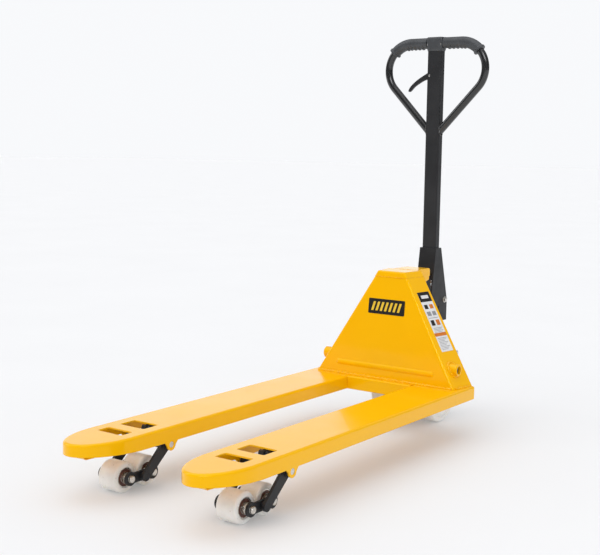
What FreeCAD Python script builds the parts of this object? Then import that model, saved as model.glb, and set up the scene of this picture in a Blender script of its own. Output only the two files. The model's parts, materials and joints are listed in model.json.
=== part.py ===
import FreeCAD, Part
import math
import os
from FreeCAD import Vector

# Hand pallet truck. Millimetres, +Z up, forks towards -Y, the pump and the handle towards +Y.
# Everything is drawn with Y = 0 at the foot of the tower's front plate and is moved on saving,
# so that the stored origin is the middle of the whole truck's footprint on the floor.
# It is drawn with its forks partly raised and its handle upright.

# ---------------------------------------------------------------- driving dimensions
overall_width = 550.0       # across both forks
fork_width = 160.0
fork_top = 158.0            # height of the fork tops as drawn
fork_side = 40.0            # height of a fork's side walls
fork_reach = 1150.0         # from the tower's foot to the fork tips
heel_reach = 95.0           # from the tower's foot to the rear end of the heels
plate = 4.0                 # fork plate thickness
nose_length = 150.0

window_half = 42.5
front_window = (-1011.0, -969.0)
rear_window = (-930.0, -874.0)

tower_plate = 5.0
tower_top = 482.0           # where the bent sheet ends and the cap begins
cap_top = 500.0
tower_foot_half = 251.0     # half width at the foot
tower_slope_x = 201.0 / 339.0
tower_slope_y = 35.0 / 339.0
tower_flare = 0.16          # how fast the sides spread towards the rear
tower_depth_foot = 95.0
tower_depth_top = 84.0
ledge = 28.0                # the base plate in front of the tower

shaft_y = 44.0              # rocker shaft
shaft_z = 212.0
shaft_r = 12.4
boss_bore_r = 12.5
boss_r = 18.5
boss_end = 246.0            # outer end of a boss, from the centre plane

ram_y = 198.0               # lift ram, which is also the steering axis
ram_r = 16.0
ram_top = 468.0
cylinder_r = 38.0

pivot_y = -864.0            # roller arm pivot, at the fork's ears
pivot_z = 110.0
arm_length = 105.0
arm_drop = 70.0             # height from the arm pivot down to the bogie pivot
drive_radius = 34.0         # from an arm or rocker axis to its push rod pin
drive_lean = 14.4           # degrees forward of vertical
roller_r = 40.0
roller_width = 60.0
wheelbase = 82.0
axle_r = 10.0

rocker_reach = 99.3         # level distance from the rocker shaft to the thrust plate pins
thrust_z = 200.0            # height of the thrust plate pins

wheel_r = 90.0
wheel_width = 50.0
wheel_x = 85.0

handle_y = 303.0            # handle pivot
handle_z = 355.0
post_width = 50.0
post_depth = 28.0
post_y = 291.0
grip_top = 1250.0
cam_radius = 48.0
cam_angle = 35.0
cam_r = 14.0
plunger_y = 346.0
plunger_r = 8.8
barrel_r = 17.0
rear_reach = plunger_y + barrel_r
valve_z = 204.0             # lowering valve

loop_tube_r = 12.5
loop_radius = 86.0
loop_half_straight = 92.5
loop_angle = 43.6
grip_r = 18.5

# ---------------------------------------------------------------- worked out from them
fork_centre = (overall_width - fork_width) / 2
fork_half = fork_width / 2
fork_base = fork_top - fork_side
inner_edge = fork_centre - fork_half
bogie_y = pivot_y - math.sqrt(arm_length ** 2 - arm_drop ** 2)
bogie_z = pivot_z - arm_drop
drive_dy = -drive_radius * math.sin(math.radians(drive_lean))
drive_dz = drive_radius * math.cos(math.radians(drive_lean))
cam_y = handle_y + cam_radius * math.cos(math.radians(cam_angle))
cam_z = handle_z + cam_radius * math.sin(math.radians(cam_angle))
foot_y = (fork_reach - rear_reach) / 2
loop_z = grip_top - grip_r - loop_radius


# ---------------------------------------------------------------- small tools
def box(x0, x1, y0, y1, z0, z1):
    return Part.makeBox(x1 - x0, y1 - y0, z1 - z0, Vector(x0, y0, z0))


def rod_x(radius, x0, x1, y, z):
    return Part.makeCylinder(radius, x1 - x0, Vector(x0, y, z), Vector(1, 0, 0))


def rod_z(radius, z0, z1, x, y):
    return Part.makeCylinder(radius, z1 - z0, Vector(x, y, z0), Vector(0, 0, 1))


def tube_x(outer, inner, x0, x1, y, z):
    return rod_x(outer, x0, x1, y, z).cut(rod_x(inner, x0 - 1, x1 + 1, y, z))


def tube_z(outer, inner, z0, z1, x, y):
    return rod_z(outer, z0, z1, x, y).cut(rod_z(inner, z0 - 1, z1 + 1, x, y))


def plate_yz(outline, x0, x1):
    """A flat plate across X, from corners given as (y, z)."""
    corners = [Vector(x0, y, z) for y, z in outline]
    face = Part.Face(Part.makePolygon(corners + corners[:1]))
    return face.extrude(Vector(x1 - x0, 0, 0))


def link_x(x0, x1, first, second):
    """A link plate round two circles, each given as (y, z, radius)."""
    y1, z1, r1 = first
    y2, z2, r2 = second
    span = math.hypot(y2 - y1, z2 - z1)
    heading = math.atan2(z2 - z1, y2 - y1)
    opening = math.acos((r1 - r2) / span)
    corners = []
    for (y, z, r), side in ((first, 1), (second, 1), (second, -1), (first, -1)):
        angle = heading + side * opening
        corners.append((y + r * math.cos(angle), z + r * math.sin(angle)))
    body = plate_yz(corners, x0, x1)
    body = body.fuse(rod_x(r1, x0, x1, y1, z1))
    return body.fuse(rod_x(r2, x0, x1, y2, z2)).removeSplitter()


def fuse_all(shapes):
    return shapes[0].fuse(shapes[1:]).removeSplitter()


def cut_all(shape, tools):
    return shape.cut(Part.makeCompound(tools))


def both_sides(make):
    """The same piece at +X and, mirrored, at -X."""
    piece = make()
    return [piece, piece.mirror(Vector(0, 0, 0), Vector(1, 0, 0))]


def slot_x(radius, half_y, half_z, x0, x1, y, z):
    """The space of a round-ended slot through X, long in Y or in Z."""
    ends = [rod_x(radius, x0, x1, y + sy * half_y, z + sz * half_z)
            for sy, sz in ((1, 1), (-1, -1))]
    core = box(x0, x1, y - half_y - (radius if half_z else 0), y + half_y + (radius if half_z else 0),
               z - half_z - (0 if half_z else radius), z + half_z + (0 if half_z else radius))
    return fuse_all([core] + ends)


def long_edges(shape, test):
    return [edge for edge in shape.Edges if test(edge)]


# ---------------------------------------------------------------- forks
def fork_outline(half_width, tip, heel, bottom):
    """Plan of a fork, with its half-elliptical nose, as a face at height bottom."""
    nose_start = -fork_reach + nose_length
    nose = Part.Ellipse(Vector(0, nose_start, bottom), nose_start - tip, half_width)
    nose.XAxis = Vector(0, -1, 0)
    arc = Part.Arc(nose, -math.pi / 2, math.pi / 2).toShape()
    start = arc.Vertexes[0].Point
    end = arc.Vertexes[-1].Point
    rear_start = Vector(start.x, heel, bottom)
    rear_end = Vector(end.x, heel, bottom)
    sides = [Part.makeLine(end, rear_end), Part.makeLine(rear_end, rear_start),
             Part.makeLine(rear_start, start)]
    return Part.Face(Part.Wire([arc] + sides))


def fork_with_heel():
    """The right fork and its heel: a channel with the roller arm's ears and the top's openings."""
    outer = fork_outline(fork_half, -fork_reach, heel_reach, fork_base)
    outer = outer.extrude(Vector(0, 0, fork_side))
    top_edges = long_edges(outer, lambda e: abs(e.CenterOfMass.z - fork_top) < 0.1
                           and e.CenterOfMass.y < heel_reach - 1)
    outer = outer.makeFillet(7.0, top_edges)
    nose_kink = -980.0
    nose_rise = 9.0
    under = plate_yz([(nose_kink, fork_base), (-fork_reach - 5, fork_base - 5),
                      (-fork_reach - 5, fork_base + nose_rise)], -fork_half - 5, fork_half + 5)
    outer = outer.cut(under)
    inner = fork_outline(fork_half - plate, -fork_reach + plate, heel_reach - plate, fork_base - 10)
    inner = inner.extrude(Vector(0, 0, fork_side + 10 - plate))
    inner_edges = long_edges(inner, lambda e: abs(e.CenterOfMass.z - fork_top + plate) < 0.1)
    inner = inner.makeFillet(3.5, inner_edges)
    ears = []
    for wall in (-1, 1):
        ear = ear_plate()
        ear.translate(Vector(wall * (fork_half - plate / 2), 0, 0))
        ears.append(ear)
    body = fuse_all([outer.cut(inner)] + ears)
    holes = [box(-window_half, window_half, y0, y1, fork_top - 20, fork_top + 10)
             for y0, y1 in (front_window, rear_window)]
    holes = [hole.makeFillet(5.0, long_edges(hole, lambda e: abs(e.tangentAt(0).z) > 0.9))
             for hole in holes]
    holes.append(rod_x(8.1, -fork_half - 5, fork_half + 5, pivot_y, pivot_z))
    rod_y = shaft_y + drive_dy
    holes.append(box(-12, 9.5, rod_y - 24, rod_y + 40, fork_top - 20, fork_top + 10))
    body = cut_all(body, holes)
    body.translate(Vector(fork_centre, 0, 0))
    return body


def right_fork():
    return fork_with_heel().cut(box(0, overall_width, -ledge, 500, 0, 300))


def right_heel():
    return fork_with_heel().common(box(0, overall_width, -ledge, 500, 0, 300))


def ear_plate():
    """The rounded ear under a fork's side wall that carries the roller arm's pin."""
    ear_r = 16.0
    ear_half = 27.0
    outline = [(pivot_y - ear_half, fork_base + 3), (pivot_y + ear_half, fork_base + 3),
               (pivot_y + 11, pivot_z - 8), (pivot_y - 11, pivot_z - 8)]
    ear = plate_yz(outline, -plate / 2, plate / 2)
    ear = ear.fuse(rod_x(ear_r, -plate / 2, plate / 2, pivot_y, pivot_z))
    return ear.removeSplitter()


def nose_skid(side):
    """The bent strip under a fork's nose that slides over a pallet board."""
    half = 24.0
    sheet = 3.0
    line = [(-1124, fork_base + 4), (-1114, fork_base - 4), (-1086, fork_base - 5), (-1070, fork_base + 3)]
    inner = [(y, z + sheet) for y, z in reversed(line)]
    skid = plate_yz(line + inner, -half, half)
    skid.translate(Vector(side * fork_centre, 0, 0))
    return skid


def fork_rib(side, y):
    """A stiffening web across a fork's channel, notched for the push rod."""
    half = fork_half - plate - 0.1
    top = fork_top - plate - 0.1
    web = box(-half, half, y - 2.5, y + 2.5, fork_base + 4, top)
    web = web.makeChamfer(4.0, long_edges(web, lambda e: abs(abs(e.CenterOfMass.x) - half) < 0.1
                                          and abs(e.CenterOfMass.z - top) < 0.1))
    notch = box(-14, 14, y - 5, y + 5, fork_base, fork_top - plate - 4)
    web = web.cut(notch)
    web.translate(Vector(side * fork_centre, 0, 0))
    return web


def heel_frame():
    """Both heels and, between them, the folded plate under the tower's front plate."""
    half = inner_edge
    rear = 45.0
    top = box(-half, half, -ledge, rear, fork_top - tower_plate, fork_top)
    front = box(-half, half, -ledge, -ledge + tower_plate, fork_base, fork_top)
    pan = top.fuse(front).removeSplitter()
    fold = long_edges(pan, lambda e: abs(e.CenterOfMass.z - fork_top) < 0.1
                      and abs(e.CenterOfMass.y + ledge) < 0.1)
    pan = pan.makeFillet(4.0, fold)
    return fuse_all([pan] + both_sides(right_heel))


# ---------------------------------------------------------------- tower
def tower_section(z, inset, rear_extra):
    """The tower's outline at height z, wider at its open rear, as a closed wire."""
    rise = z - fork_top
    half = tower_foot_half - rise * tower_slope_x - inset * math.hypot(1, tower_slope_x)
    front = rise * tower_slope_y + inset * math.hypot(1, tower_slope_y)
    share = rise / (tower_top - fork_top)
    depth = tower_depth_foot + (tower_depth_top - tower_depth_foot) * share
    rear = rise * tower_slope_y + depth + rear_extra
    rear_half = half + (rear - front) * tower_flare
    corners = [Vector(-half, front, z), Vector(half, front, z),
               Vector(rear_half, rear, z), Vector(-rear_half, rear, z)]
    return Part.makePolygon(corners + corners[:1])


def tower_block(z0, z1, inset, rear_extra):
    sections = [tower_section(z0, inset, rear_extra), tower_section(z1, inset, rear_extra)]
    return Part.makeLoft(sections, True, True)


def is_crease(edge, z0, z1):
    low = min(v.Z for v in edge.Vertexes)
    high = max(v.Z for v in edge.Vertexes)
    middle_y = edge.CenterOfMass.y
    return high - low > (z1 - z0) * 0.9 and middle_y < 45


def tower_shell():
    outer = tower_block(fork_top, tower_top, 0, 0)
    outer = outer.makeFillet(10.0, long_edges(outer, lambda e: is_crease(e, fork_top, tower_top)))
    inner = tower_block(fork_top - 20, tower_top + 20, tower_plate, 30)
    shell = outer.cut(inner)
    bead_r = 12.0
    bead_proud = 3.5
    bead_z = fork_top + 37.0
    bead_half = 170.0
    bead_y = (bead_z - fork_top) * tower_slope_y + bead_r - bead_proud
    bead = [rod_x(bead_r, -bead_half, bead_half, bead_y, bead_z)]
    bead += [Part.makeSphere(bead_r, Vector(x, bead_y, bead_z)) for x in (-bead_half, bead_half)]
    raised = fuse_all(bead).cut(tower_block(fork_top - 20, tower_top + 20, tower_plate - 1, 30))
    shell = fuse_all([shell, raised])
    holes = [rod_x(boss_r, x0, x1, shaft_y, shaft_z) for x0, x1 in ((150, 260), (-260, -150))]
    return cut_all(shell, holes)


def tower_cap():
    outer = tower_block(tower_top, cap_top, 0, 0)
    rim = long_edges(outer, lambda e: abs(e.CenterOfMass.z - cap_top) < 0.1 and e.CenterOfMass.y < 115)
    creases = long_edges(outer, lambda e: is_crease(e, tower_top, cap_top + 4) or
                         (max(v.Z for v in e.Vertexes) - min(v.Z for v in e.Vertexes) > 10
                          and e.CenterOfMass.y < 60))
    outer = outer.makeFillet(6.0, rim + creases)
    inner = tower_block(tower_top - 20, cap_top - tower_plate, tower_plate, 30)
    return outer.cut(inner)


def ram_head_bracket():
    """The thick lug at the tower's top that the lift ram pushes on."""
    half = 41.0
    front = 66.0
    rear = ram_y + ram_r + 1
    low = 452.0
    under_cap = cap_top - tower_plate - 0.5
    behind_cap = 120.5
    outline = [(front, low), (front, under_cap), (behind_cap, under_cap), (behind_cap, cap_top),
               (rear, cap_top), (rear, low + 22), (rear - 5, low + 22), (rear - 5, low + 11),
               (rear - 34, low + 2), (rear - 42, low)]
    lug = plate_yz(outline, -half, half)
    corner = long_edges(lug, lambda e: abs(e.CenterOfMass.z - cap_top) < 0.1
                        and abs(e.CenterOfMass.y - rear) < 0.1)
    lug = lug.makeFillet(9.0, corner)
    socket = rod_z(ram_r, low - 12, ram_top, 0, ram_y)
    return lug.cut(socket)


def rocker_boss():
    tube = rod_x(boss_r, 201, boss_end, shaft_y, shaft_z)
    tube = tube.makeChamfer(1.5, long_edges(tube, lambda e: abs(e.CenterOfMass.x - boss_end) < 0.1))
    return tube.cut(rod_x(boss_bore_r, 180, 260, shaft_y, shaft_z))


def lift_ram():
    low = 262.0
    ram = rod_z(ram_r, low, ram_top, 0, ram_y)
    ends = long_edges(ram, lambda e: abs(e.CenterOfMass.z - low) < 0.1)
    return ram.makeChamfer(2.0, ends)


def on_front_plate(shape, x, z):
    """Lays a flat piece drawn about the origin, facing -Y, against the tower's front plate."""
    shape.rotate(Vector(0, 0, 0), Vector(1, 0, 0), -math.degrees(math.atan(tower_slope_y)))
    shape.translate(Vector(x, (z - fork_top) * tower_slope_y, z))
    return shape


def capacity_plate():
    sign = box(-66, 66, -1.0, 0, -24, 24)
    sign = sign.makeFillet(3.0, long_edges(sign, lambda e: abs(e.tangentAt(0).y) > 0.9))
    return on_front_plate(sign, -6.0, 387.0)


def side_label():
    """The tall sticker on the right side plate, drawn in the plate's own plane."""
    half_depth = 28.0
    low = 264.0
    high = 438.0
    sheet = 0.6
    corners = []
    for z, run in ((low, -1), (low, 1), (high, 1), (high, -1)):
        rise = z - fork_top
        share = rise / (tower_top - fork_top)
        depth = tower_depth_foot + (tower_depth_top - tower_depth_foot) * share
        from_front = depth * 0.55 + run * half_depth
        x = tower_foot_half - rise * tower_slope_x + from_front * tower_flare
        corners.append(Vector(x, rise * tower_slope_y + from_front, z))
    face = Part.Face(Part.makePolygon(corners + corners[:1]))
    outward = Vector(1, -tower_flare, tower_slope_x - tower_slope_y * tower_flare)
    outward.normalize()
    return face.extrude(outward * sheet)


# ---------------------------------------------------------------- rocker and push rods
def rocker_shaft():
    shaft = rod_x(shaft_r, -238, 238, shaft_y, shaft_z)
    return shaft.makeChamfer(1.5, [e for e in shaft.Edges if e.Curve.TypeId == "Part::GeomCircle"])


def rocker_arm():
    """One arched arm of the rocker, from the shaft over the wheels' sweep to its thrust pin."""
    x0, x1 = 60.0, 70.0
    knee = (shaft_y + 48.0, shaft_z + 38.5, 12.0)
    tip = (shaft_y + rocker_reach, thrust_z, 12.0)
    root = (shaft_y, shaft_z, 21.0)
    arm = link_x(x0, x1, root, knee).fuse(link_x(x0, x1, knee, tip))
    hub = rod_x(21.0, 52, 78, shaft_y, shaft_z)
    arm = fuse_all([arm, hub])
    arm = arm.cut(rod_x(shaft_r, 40, 90, shaft_y, shaft_z))
    return arm.cut(rod_x(7.0, 50, 80, tip[0], tip[1]))


def rocker_yoke():
    """The two arms and the spreader tube between them on the shaft."""
    spreader = tube_x(18.0, shaft_r, -52, 52, shaft_y, shaft_z)
    return fuse_all(both_sides(rocker_arm) + [spreader])


def thrust_pin():
    return rod_x(7.0, 40, 72, shaft_y + rocker_reach, thrust_z)


def drive_pin():
    y = shaft_y + drive_dy
    z = shaft_z - drive_dz
    return rod_x(5.0, 177, 202, y, z)


def drive_lever():
    x0, x1 = 177.0, 187.5
    lever = link_x(x0, x1, (shaft_y, shaft_z, 18.0), (shaft_y + drive_dy, shaft_z - drive_dz, 10.0))
    lever = lever.cut(rod_x(shaft_r, 170, 200, shaft_y, shaft_z))
    return lever.cut(rod_x(5.0, 170, 200, shaft_y + drive_dy, shaft_z - drive_dz))


def push_rod(side):
    """The rod along one fork, with a slotted eye at each end."""
    rod_r = 8.0
    mean_drop = 31.8
    rod_height = pivot_z + mean_drop
    front_y = pivot_y + drive_dy
    rear_y = shaft_y + drive_dy
    rear_z = shaft_z - mean_drop
    centre = fork_centre
    rod = Part.makeCylinder(rod_r, rear_y - front_y - 36, Vector(centre, front_y + 18, rod_height),
                            Vector(0, 1, 0))
    front_eye = box(centre - 6, centre + 6, front_y - 11, front_y + 24, rod_height - 10.5, rod_height + 9.5)
    riser = plate_yz([(rear_y - 26, rod_height - 8), (rear_y + 11, rod_height - 8),
                      (rear_y + 11, rear_z + 12), (rear_y - 11, rear_z + 12), (rear_y - 11, rod_height + 9),
                      (rear_y - 26, rod_height + 9)], 188.5, 199.0)
    rod = fuse_all([rod, front_eye, riser])
    front_slot = slot_x(5.6, 0, 2.5, centre - 20, centre + 20, front_y, rod_height)
    rear_slot = slot_x(5.6, 0, 2.5, 180, 210, rear_y, rear_z)
    rod = cut_all(rod, [front_slot, rear_slot])
    if side < 0:
        rod = rod.mirror(Vector(0, 0, 0), Vector(1, 0, 0))
    return rod


# ---------------------------------------------------------------- roller arms, bogies, fork rollers
def roller_arm(side):
    """Two side plates on a tube, with the horn that the push rod drives."""
    plates = []
    for x0, x1 in ((57.0, 65.0), (-65.0, -57.0)):
        plates.append(link_x(x0, x1, (pivot_y, pivot_z, 16.0), (bogie_y, bogie_z, 13.0)))
    tube = rod_x(15.0, -70, 70, pivot_y, pivot_z)
    horn_y = pivot_y + drive_dy
    horn_z = pivot_z + drive_dz
    horns = [link_x(x0, x1, (pivot_y, pivot_z, 14.0), (horn_y, horn_z, 8.0))
             for x0, x1 in ((7.0, 13.0), (-13.0, -7.0))]
    pin = rod_x(5.0, -13, 13, horn_y, horn_z)
    arm = fuse_all(plates + [tube] + horns + [pin])
    holes = [rod_x(8.1, -80, 80, pivot_y, pivot_z)]
    holes += [rod_x(9.15, x0, x1, bogie_y, bogie_z) for x0, x1 in ((50, 70), (-70, -50))]
    arm = cut_all(arm, holes)
    arm.translate(Vector(side * fork_centre, 0, 0))
    return arm


def roller_arm_pin(side):
    pin = rod_x(8.0, -fork_half + 0.5, fork_half - 0.5, pivot_y, pivot_z)
    pin.translate(Vector(side * fork_centre, 0, 0))
    return pin


def bogie(side):
    """Two dumbbell plates, each with the stub that the roller arm turns on."""
    lobe_r = 18.0
    waist = 13.0
    half = wheelbase / 2
    pieces = []
    for x0, x1, s0, s1 in ((43.0, 50.0, 50.0, 64.8), (-50.0, -43.0, -64.8, -50.0)):
        lobes = [rod_x(lobe_r, x0, x1, bogie_y + s * half, bogie_z) for s in (-1, 1)]
        bar = plate_yz([(bogie_y - half, bogie_z - waist), (bogie_y + half, bogie_z - waist),
                        (bogie_y + half, bogie_z + waist), (bogie_y - half, bogie_z + waist)], x0, x1)
        side_plate = fuse_all(lobes + [bar, rod_x(9.0, s0, s1, bogie_y, bogie_z)])
        holes = [rod_x(axle_r, x0 - 5, x1 + 5, bogie_y + s * half, bogie_z) for s in (-1, 1)]
        pieces.append(cut_all(side_plate, holes))
    group = Part.makeCompound(pieces)
    group.translate(Vector(side * fork_centre, 0, 0))
    return group


def roller_axle(side, end):
    """One axle pin, with a plain shoulder outside each bogie plate."""
    y = bogie_y + end * wheelbase / 2
    core = rod_x(axle_r, -50, 50, y, bogie_z)
    heads = [rod_x(axle_r - 0.5, x0, x1, y, bogie_z) for x0, x1 in ((50, 56.4), (-56.4, -50))]
    heads = [h.makeChamfer(1.5, outer_rims(h, 56.4)) for h in heads]
    gap = roller_width / 2 + 0.5
    spacers = [tube_x(15.0, axle_r, x0, x1, y, bogie_z) for x0, x1 in ((gap, 42.9), (-42.9, -gap))]
    axle = fuse_all([core] + heads + spacers)
    axle.translate(Vector(side * fork_centre, 0, 0))
    return axle


def outer_rims(shape, reach):
    return [e for e in shape.Edges if abs(abs(e.CenterOfMass.x) - reach) < 0.1]


def fork_roller(side, end):
    y = bogie_y + end * wheelbase / 2
    half = roller_width / 2
    wheel = rod_x(roller_r, -half, half, y, bogie_z)
    wheel = wheel.makeFillet(7.0, outer_rims(wheel, half))
    wheel = cut_all(wheel, [rod_x(21.0, -half - 1, half + 1, y, bogie_z),
                            rod_x(26.0, half - 14, half + 1, y, bogie_z),
                            rod_x(26.0, -half - 1, -half + 14, y, bogie_z)])
    wheel.translate(Vector(side * fork_centre, 0, 0))
    return wheel


def roller_bearings(side, end):
    y = bogie_y + end * wheelbase / 2
    half = roller_width / 2
    rings = [tube_x(26.0, axle_r + 0.1, x0, x1, y, bogie_z)
             for x0, x1 in ((half - 14, half - 2), (-half + 2, -half + 14))]
    group = Part.makeCompound(rings)
    group.translate(Vector(side * fork_centre, 0, 0))
    return group


# ---------------------------------------------------------------- pump unit
def thrust_ring():
    """The ring round the lift cylinder, with a slotted ear for each rocker pin."""
    z0 = 184.5
    z1 = 211.0
    slot_middle = shaft_y + rocker_reach - 9.0
    ring = rod_z(54.0, z0, z1, 0, ram_y)
    ears = [box(x0, x1, slot_middle - 25, ram_y, z0, z1 + 3) for x0, x1 in ((46, 56), (-56, -46))]
    body = fuse_all([ring] + ears)
    slots = [slot_x(8.9, 11.5, 0, x0, x1, slot_middle, thrust_z) for x0, x1 in ((40, 60), (-60, -40))]
    bore = rod_z(cylinder_r + 0.3, z0 - 5, z1 + 5, 0, ram_y)
    return cut_all(body, slots + [bore])


def pump_housing():
    """The cast base of the pump: the axle block, the rear arm and the plunger's socket."""
    block = box(-44, 44, ram_y - 42, ram_y + 42, 62, 184)
    block = block.makeFillet(16.0, long_edges(block, lambda e: abs(e.tangentAt(0).z) > 0.9))
    arm = box(-27, 27, ram_y + 30, plunger_y - 6, 112, 182)
    arm = arm.makeFillet(8.0, long_edges(arm, lambda e: abs(e.tangentAt(0).y) > 0.9))
    socket = rod_z(barrel_r, 108, 186, 0, plunger_y)
    body = fuse_all([block, arm, socket])
    holes = [rod_x(axle_r, -60, 60, ram_y, wheel_r), rod_z(plunger_r + 0.1, 138, 190, 0, plunger_y)]
    return cut_all(body, holes)


def lift_cylinder():
    """The cylinder with the lug that carries the handle's pivot."""
    tube = rod_z(cylinder_r, 184, 352, 0, ram_y)
    lug = box(-19, 19, ram_y + 20, handle_y, 316, 372)
    nose = rod_x(17.0, -19, 19, handle_y, handle_z)
    gusset = plate_yz([(ram_y + 30, 262), (handle_y + 4, 340), (handle_y, 352), (ram_y + 30, 352)], -8, 8)
    lug = fuse_all([lug, nose]).cut(box(-25, 25, handle_y - 1, handle_y + 30, 300, handle_z - 17))
    body = fuse_all([tube, lug, gusset])
    clear_top = rod_z(cylinder_r + 2, 352, 380, 0, ram_y)
    ram_bore = rod_z(ram_r + 1.1, 190, 360, 0, ram_y)
    pivot_bore = rod_x(8.0, -30, 30, handle_y, handle_z)
    return cut_all(body, [ram_bore, pivot_bore, clear_top])


def gland_nut():
    nut = rod_z(31.0, 352, 364, 0, ram_y)
    nut = nut.makeChamfer(1.5, long_edges(nut, lambda e: abs(e.CenterOfMass.z - 364) < 0.1))
    spanner_flats = [rod_z(3.0, 358, 370, 26 * math.cos(a), ram_y + 26 * math.sin(a))
                     for a in [math.radians(45 + 90 * k) for k in range(4)]]
    return cut_all(nut, spanner_flats + [rod_z(ram_r + 0.1, 340, 380, 0, ram_y)])


def plunger_barrel():
    tube = tube_z(barrel_r, plunger_r + 0.1, 186, 248, 0, plunger_y)
    return tube.makeChamfer(1.5, long_edges(tube, lambda e: abs(e.CenterOfMass.z - 248) < 0.1))


def steer_axle():
    """The axle, with a shoulder between the pump's base and each wheel."""
    reach = wheel_x + wheel_width / 2
    shoulders = both_sides(lambda: rod_x(16.0, 44.3, wheel_x - wheel_width / 2 - 0.6, ram_y, wheel_r))
    return fuse_all([rod_x(axle_r, -reach - 10, reach + 10, ram_y, wheel_r)] + shoulders)


def axle_end_ring():
    reach = wheel_x + wheel_width / 2
    return tube_x(15.0, axle_r, reach + 1, reach + 5, ram_y, wheel_r)


def filler_plug():
    head = rod_z(9.0, 182, 190, 0, ram_y + 72)
    return head.makeChamfer(1.0, long_edges(head, lambda e: abs(e.CenterOfMass.z - 190) < 0.1))


def handle_pivot_pin():
    shank = rod_x(8.0, -33, 33, handle_y, handle_z)
    return shank.makeChamfer(1.0, outer_rims(shank, 33))


def hexagon(radius, x0, x1, y, z):
    corners = [(y + radius * math.cos(math.radians(60 * k)), z + radius * math.sin(math.radians(60 * k)))
               for k in range(6)]
    return plate_yz(corners, x0, x1)


def release_valve():
    """The lowering valve's body on the plunger socket's side, with the stud its lever turns on."""
    barrel = rod_x(12.0, 10, 60, plunger_y, valve_z).cut(rod_z(barrel_r, 150, 260, 0, plunger_y))
    stud = rod_x(5.0, 60, 84, plunger_y, valve_z)
    nut = hexagon(10.0, 74, 82, plunger_y, valve_z)
    return fuse_all([barrel, stud, nut])


def release_lever():
    """The small lever that opens the lowering valve, with the hole for the control linkage."""
    tip = (plunger_y - 42, valve_z + 40, 8.0)
    lever = link_x(64, 70, (plunger_y, valve_z, 12.0), tip)
    return cut_all(lever, [rod_x(5.1, 50, 90, plunger_y, valve_z), rod_x(3.0, 50, 90, tip[0], tip[1])])


def pump_plunger():
    rod = rod_z(plunger_r, 200, 354, 0, plunger_y)
    head = rod_z(barrel_r, 352, 367.5, 0, plunger_y)
    head = head.makeFillet(2.0, long_edges(head, lambda e: abs(e.CenterOfMass.z - 367.5) < 0.1))
    return fuse_all([rod, head])


def return_spring():
    """The plunger's return spring, as one round-wire helix with closed ends."""
    wire_r = 2.0
    coil_r = 12.5
    low = 248.0 + wire_r + 0.1
    high = 352.0 - wire_r - 0.1
    turns = 9.0
    helix = Part.makeHelix((high - low) / turns, high - low, coil_r)
    profile = Part.Wire(Part.makeCircle(wire_r, Vector(coil_r, 0, 0), Vector(0, 1, 0)))
    coil = Part.Wire(helix.Edges).makePipeShell([profile], True, True)
    coil.translate(Vector(0, plunger_y, low))
    return coil


def steer_wheel(side):
    x = side * wheel_x
    half = wheel_width / 2
    wheel = rod_x(wheel_r, x - half, x + half, ram_y, wheel_r)
    rims = [e for e in wheel.Edges if e.Curve.TypeId == "Part::GeomCircle"]
    wheel = wheel.makeFillet(6.0, rims)
    grooves = [tube_x(74.0, 34.0, x0, x1, ram_y, wheel_r) for x0, x1 in
               ((x + half - 5, x + half + 1), (x - half - 1, x - half + 5))]
    return cut_all(wheel, grooves + [rod_x(23.5, x - half - 1, x + half + 1, ram_y, wheel_r)])


def steer_bearings(side):
    x = side * wheel_x
    half = wheel_width / 2
    rings = [tube_x(23.5, axle_r + 0.1, x0, x1, ram_y, wheel_r)
             for x0, x1 in ((x + half - 15, x + half - 1), (x - half + 1, x - half + 15))]
    return Part.makeCompound(rings)


# ---------------------------------------------------------------- handle
def handle_post():
    half = post_width / 2
    wall = 3.0
    low = 452.0
    high = grip_top - grip_r - 24
    post = box(-half, half, post_y - post_depth / 2, post_y + post_depth / 2, low, high)
    post = post.makeFillet(4.0, long_edges(post, lambda e: abs(e.tangentAt(0).z) > 0.9))
    hollow = box(-half + wall, half - wall, post_y - post_depth / 2 + wall,
                 post_y + post_depth / 2 - wall, low - 5, high + 5)
    window = box(-half - 5, -half + 10, post_y - 5, post_y + 5, lever_root_z() - 22, lever_root_z() + 16)
    pin_hole = Part.makeCylinder(3.5, 60, Vector(-17, post_y - 30, lever_root_z()), Vector(0, 1, 0))
    return cut_all(post, [hollow, window, pin_hole])


def lever_root_z():
    return grip_top - 124.0


def handle_bracket():
    """The tapered channel at the post's foot: two cheeks and a front web."""
    inner = 25.4
    outer = 30.4
    front_top = post_y - post_depth / 2 - 5
    rear_top = post_y + post_depth / 2 + 3
    top = 560.0
    skirt_low = handle_z - 43
    outline = [(front_top, top), (rear_top, top), (cam_y + 13, cam_z + 10), (cam_y + 16, cam_z),
               (cam_y + 16, skirt_low), (cam_y - 14, skirt_low), (handle_y + 12, handle_z - 15),
               (handle_y, handle_z - 20), (handle_y - 14, handle_z - 14), (front_top - 20, cam_z + 8),
               (front_top - 20, cam_z + 40)]
    cheek = plate_yz(outline, inner, outer)
    round_end = rod_x(16.0, inner, outer, cam_y, cam_z)
    pivot_end = rod_x(20.0, inner, outer, handle_y, handle_z)
    cheek = fuse_all([cheek, round_end, pivot_end])
    cheeks = [cheek, cheek.mirror(Vector(0, 0, 0), Vector(1, 0, 0))]
    lean = 20.0 / (top - cam_z - 40)
    web_low = 478.0
    web_shift = (top - web_low) * lean
    web = plate_yz([(front_top, top), (front_top + 4.9, top), (front_top + 4.9 - web_shift, web_low),
                    (front_top - web_shift, web_low)], -inner - 1, inner + 1)
    arch = Part.makeCylinder(14.0, 60, Vector(0, 230, web_low - 2), Vector(0, 1, 0))
    channel = fuse_all(cheeks + [web.cut(arch)])
    holes = [rod_x(8.1, -40, 40, handle_y, handle_z), rod_x(6.0, -40, 40, cam_y, cam_z)]
    return cut_all(channel, holes)


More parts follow.
